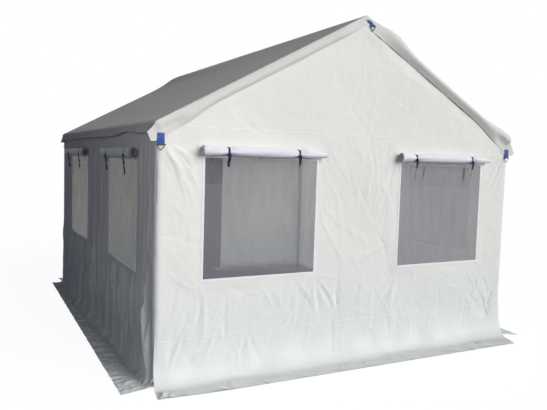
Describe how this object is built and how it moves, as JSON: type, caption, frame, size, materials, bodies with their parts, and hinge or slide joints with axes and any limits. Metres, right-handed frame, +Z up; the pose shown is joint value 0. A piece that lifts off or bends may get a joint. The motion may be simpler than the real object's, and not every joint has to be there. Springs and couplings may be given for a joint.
{
  "type": "rapid deployment shelter",
  "caption": "Gabled cloth shelter on two hinged arches joined by folding scissor chains, with net windows, rolled covers, an end doorway and mud flaps.",
  "frame": {"origin": "on the floor under the middle of the ridge, at the bottom centre of the part's box", "axes": "+Z up, Y along the ridge with the gable without a door at -Y, X across the gable"},
  "size_m": [4.09, 4.6, 2.925],
  "materials": {
    "cover_cloth": "light grey coated cloth, satin",
    "window_net": "fine dark grey insect net, matt",
    "rolled_cloth": "white coated cloth, rolled up",
    "arch_tube": "extruded square tube, satin anodised",
    "cast_fitting": "cast and tumbled, dark grey",
    "scissor_bar": "flat bar, brushed",
    "blue_webbing": "woven blue webbing, matt",
    "ring_wire": "black coated steel wire"
  },
  "bodies": {
    "front_arch": {"front_ridge_bracket": "cast_fitting", "front_left_rafter": "arch_tube", "front_right_rafter": "arch_tube", "front_wall": "cover_cloth", "front_left_window_net": "window_net", "front_right_window_net": "window_net", "front_left_window_roll": "rolled_cloth", "front_right_window_roll": "rolled_cloth", "front_left_tab": "blue_webbing", "front_peak_tab": "blue_webbing", "front_right_tab": "blue_webbing", "roof_cover": "cover_cloth", "left_wall": "cover_cloth", "right_wall": "cover_cloth", "left_mud_flap": "cover_cloth", "right_mud_flap": "cover_cloth", "left_near_window_net": "window_net", "left_near_window_roll": "rolled_cloth", "left_far_window_net": "window_net", "left_far_window_roll": "rolled_cloth", "right_near_window_net": "window_net", "right_near_window_roll": "rolled_cloth", "right_far_window_net": "window_net", "right_far_window_roll": "rolled_cloth"},
    "rear_arch": {"rear_ridge_bracket": "cast_fitting", "rear_left_rafter": "arch_tube", "rear_right_rafter": "arch_tube", "rear_wall": "cover_cloth", "rear_door_roll": "rolled_cloth", "rear_left_tab": "blue_webbing", "rear_peak_tab": "blue_webbing", "rear_right_tab": "blue_webbing"},
    "left_falling_bar_1": {"left_falling_bar_1": "scissor_bar"},
    "left_rising_bar_1": {"left_rising_bar_1": "scissor_bar"},
    "left_rising_bar_2": {"left_rising_bar_2": "scissor_bar"},
    "left_falling_bar_2": {"left_falling_bar_2": "scissor_bar"},
    "left_falling_bar_3": {"left_falling_bar_3": "scissor_bar"},
    "left_rising_bar_3": {"left_rising_bar_3": "scissor_bar"},
    "front_left_slider": {"front_left_slider": "cast_fitting"},
    "rear_left_slider": {"rear_left_slider": "cast_fitting"},
    "right_falling_bar_1": {"right_falling_bar_1": "scissor_bar"},
    "right_rising_bar_1": {"right_rising_bar_1": "scissor_bar"},
    "right_rising_bar_2": {"right_rising_bar_2": "scissor_bar"},
    "right_falling_bar_2": {"right_falling_bar_2": "scissor_bar"},
    "right_falling_bar_3": {"right_falling_bar_3": "scissor_bar"},
    "right_rising_bar_3": {"right_rising_bar_3": "scissor_bar"},
    "front_right_slider": {"front_right_slider": "cast_fitting"},
    "rear_right_slider": {"rear_right_slider": "cast_fitting"},
    "front_left_leg": {"front_left_leg": "arch_tube"},
    "front_right_leg": {"front_right_leg": "arch_tube"},
    "rear_left_leg": {"rear_left_leg": "arch_tube"},
    "rear_right_leg": {"rear_right_leg": "arch_tube"},
    "front_left_ring": {"front_left_ring": "ring_wire"},
    "front_peak_ring": {"front_peak_ring": "ring_wire"},
    "front_right_ring": {"front_right_ring": "ring_wire"},
    "rear_left_ring": {"rear_left_ring": "ring_wire"},
    "rear_peak_ring": {"rear_peak_ring": "ring_wire"},
    "rear_right_ring": {"rear_right_ring": "ring_wire"}
  },
  "joints": [
    {"name": "frame_fold", "type": "hinge", "parent": "front_arch", "child": "left_falling_bar_1", "pos_m": [-0.10539, -1.895, 2.83642], "axis": [-0.4782, 0, 0.8783], "range_deg": [0, 50.03], "deforming": ["roof_cover", "left_wall", "right_wall", "left_near_window_net", "left_near_window_roll", "left_far_window_net", "left_far_window_roll", "right_near_window_net", "right_near_window_roll", "right_far_window_net", "right_far_window_roll", "left_mud_flap", "right_mud_flap"]},
    {"name": "left_rising_bar_1_pivot", "type": "hinge", "parent": "left_falling_bar_1", "child": "left_rising_bar_1", "pos_m": [-0.50061, -1.26333, 2.62125], "axis": [-0.4782, 0, 0.8783], "range_deg": [-100.07, 0]},
    {"name": "left_rising_bar_2_pivot", "type": "hinge", "parent": "left_falling_bar_1", "child": "left_rising_bar_2", "pos_m": [-0.89583, -0.63167, 2.40607], "axis": [-0.4782, 0, 0.8783], "range_deg": [-100.07, 0]},
    {"name": "left_falling_bar_2_pivot", "type": "hinge", "parent": "left_rising_bar_2", "child": "left_falling_bar_2", "pos_m": [-0.50061, 0, 2.62125], "axis": [-0.4782, 0, 0.8783], "range_deg": [0, 100.07]},
    {"name": "left_falling_bar_3_pivot", "type": "hinge", "parent": "left_rising_bar_2", "child": "left_falling_bar_3", "pos_m": [-0.10539, 0.63167, 2.83642], "axis": [-0.4782, 0, 0.8783], "range_deg": [0, 100.07]},
    {"name": "left_rising_bar_3_pivot", "type": "hinge", "parent": "left_falling_bar_3", "child": "left_rising_bar_3", "pos_m": [-0.50061, 1.26333, 2.62125], "axis": [-0.4782, 0, 0.8783], "range_deg": [-100.07, 0]},
    {"name": "front_left_slider_pivot", "type": "hinge", "parent": "left_rising_bar_1", "child": "front_left_slider", "pos_m": [-0.89583, -1.895, 2.40607], "axis": [-0.4782, 0, 0.8783], "range_deg": [0, 50.03]},
    {"name": "rear_left_slider_pivot", "type": "hinge", "parent": "left_falling_bar_3", "child": "rear_left_slider", "pos_m": [-0.89583, 1.895, 2.40607], "axis": [-0.4782, 0, 0.8783], "range_deg": [-50.03, 0]},
    {"name": "right_falling_bar_1_pivot", "type": "hinge", "parent": "front_arch", "child": "right_falling_bar_1", "pos_m": [0.10539, -1.895, 2.83642], "axis": [-0.4782, 0, -0.8783], "range_deg": [0, 50.03]},
    {"name": "right_rising_bar_1_pivot", "type": "hinge", "parent": "right_falling_bar_1", "child": "right_rising_bar_1", "pos_m": [0.50061, -1.26333, 2.62125], "axis": [-0.4782, 0, -0.8783], "range_deg": [-100.07, 0]},
    {"name": "right_rising_bar_2_pivot", "type": "hinge", "parent": "right_falling_bar_1", "child": "right_rising_bar_2", "pos_m": [0.89583, -0.63167, 2.40607], "axis": [-0.4782, 0, -0.8783], "range_deg": [-100.07, 0]},
    {"name": "right_falling_bar_2_pivot", "type": "hinge", "parent": "right_rising_bar_2", "child": "right_falling_bar_2", "pos_m": [0.50061, 0, 2.62125], "axis": [-0.4782, 0, -0.8783], "range_deg": [0, 100.07]},
    {"name": "right_falling_bar_3_pivot", "type": "hinge", "parent": "right_rising_bar_2", "child": "right_falling_bar_3", "pos_m": [0.10539, 0.63167, 2.83642], "axis": [-0.4782, 0, -0.8783], "range_deg": [0, 100.07]},
    {"name": "right_rising_bar_3_pivot", "type": "hinge", "parent": "right_falling_bar_3", "child": "right_rising_bar_3", "pos_m": [0.50061, 1.26333, 2.62125], "axis": [-0.4782, 0, -0.8783], "range_deg": [-100.07, 0]},
    {"name": "front_right_slider_pivot", "type": "hinge", "parent": "right_rising_bar_1", "child": "front_right_slider", "pos_m": [0.89583, -1.895, 2.40607], "axis": [-0.4782, 0, -0.8783], "range_deg": [0, 50.03]},
    {"name": "rear_right_slider_pivot", "type": "hinge", "parent": "right_falling_bar_3", "child": "rear_right_slider", "pos_m": [0.89583, 1.895, 2.40607], "axis": [-0.4782, 0, -0.8783], "range_deg": [-50.03, 0]},
    {"name": "rear_arch_pivot", "type": "hinge", "parent": "left_rising_bar_3", "child": "rear_arch", "pos_m": [-0.10539, 1.895, 2.83642], "axis": [-0.4782, 0, 0.8783], "range_deg": [0, 50.03]},
    {"name": "front_left_leg_hinge", "type": "hinge", "parent": "front_arch", "child": "front_left_leg", "pos_m": [-1.755, -1.94, 1.86999], "axis": [0, -1, 0], "range_deg": [0, 115]},
    {"name": "front_right_leg_hinge", "type": "hinge", "parent": "front_arch", "child": "front_right_leg", "pos_m": [1.755, -1.94, 1.86999], "axis": [0, 1, 0], "range_deg": [0, 115]},
    {"name": "rear_left_leg_hinge", "type": "hinge", "parent": "rear_arch", "child": "rear_left_leg", "pos_m": [-1.755, 1.94, 1.86999], "axis": [0, -1, 0], "range_deg": [0, 115]},
    {"name": "rear_right_leg_hinge", "type": "hinge", "parent": "rear_arch", "child": "rear_right_leg", "pos_m": [1.755, 1.94, 1.86999], "axis": [0, 1, 0], "range_deg": [0, 115]},
    {"name": "front_left_ring_hinge", "type": "hinge", "parent": "front_arch", "child": "front_left_ring", "pos_m": [-1.7672, -2.0092, 1.78], "axis": [-1, 0, 0], "range_deg": [-4, 150]},
    {"name": "front_peak_ring_hinge", "type": "hinge", "parent": "front_arch", "child": "front_peak_ring", "pos_m": [0.062, -2.0092, 2.84324], "axis": [-1, 0, 0], "range_deg": [-4, 150]},
    {"name": "front_right_ring_hinge", "type": "hinge", "parent": "front_arch", "child": "front_right_ring", "pos_m": [1.7672, -2.0092, 1.78], "axis": [-1, 0, 0], "range_deg": [-4, 150]},
    {"name": "rear_left_ring_hinge", "type": "hinge", "parent": "rear_arch", "child": "rear_left_ring", "pos_m": [-1.7672, 2.0092, 1.78], "axis": [1, 0, 0], "range_deg": [-4, 150]},
    {"name": "rear_peak_ring_hinge", "type": "hinge", "parent": "rear_arch", "child": "rear_peak_ring", "pos_m": [0.062, 2.0092, 2.84324], "axis": [1, 0, 0], "range_deg": [-4, 150]},
    {"name": "rear_right_ring_hinge", "type": "hinge", "parent": "rear_arch", "child": "rear_right_ring", "pos_m": [1.7672, 2.0092, 1.78], "axis": [1, 0, 0], "range_deg": [-4, 150]}
  ],
  "couplings": [
    {"joint": "left_rising_bar_1_pivot", "follows": "frame_fold", "ratio": -2},
    {"joint": "left_rising_bar_2_pivot", "follows": "frame_fold", "ratio": -2},
    {"joint": "left_falling_bar_2_pivot", "follows": "frame_fold", "ratio": 2},
    {"joint": "left_falling_bar_3_pivot", "follows": "frame_fold", "ratio": 2},
    {"joint": "left_rising_bar_3_pivot", "follows": "frame_fold", "ratio": -2},
    {"joint": "front_left_slider_pivot", "follows": "frame_fold", "ratio": 1},
    {"joint": "rear_left_slider_pivot", "follows": "frame_fold", "ratio": -1},
    {"joint": "right_falling_bar_1_pivot", "follows": "frame_fold", "ratio": 1},
    {"joint": "right_rising_bar_1_pivot", "follows": "frame_fold", "ratio": -2},
    {"joint": "right_rising_bar_2_pivot", "follows": "frame_fold", "ratio": -2},
    {"joint": "right_falling_bar_2_pivot", "follows": "frame_fold", "ratio": 2},
    {"joint": "right_falling_bar_3_pivot", "follows": "frame_fold", "ratio": 2},
    {"joint": "right_rising_bar_3_pivot", "follows": "frame_fold", "ratio": -2},
    {"joint": "front_right_slider_pivot", "follows": "frame_fold", "ratio": 1},
    {"joint": "rear_right_slider_pivot", "follows": "frame_fold", "ratio": -1},
    {"joint": "rear_arch_pivot", "follows": "frame_fold", "ratio": 1}
  ]
}
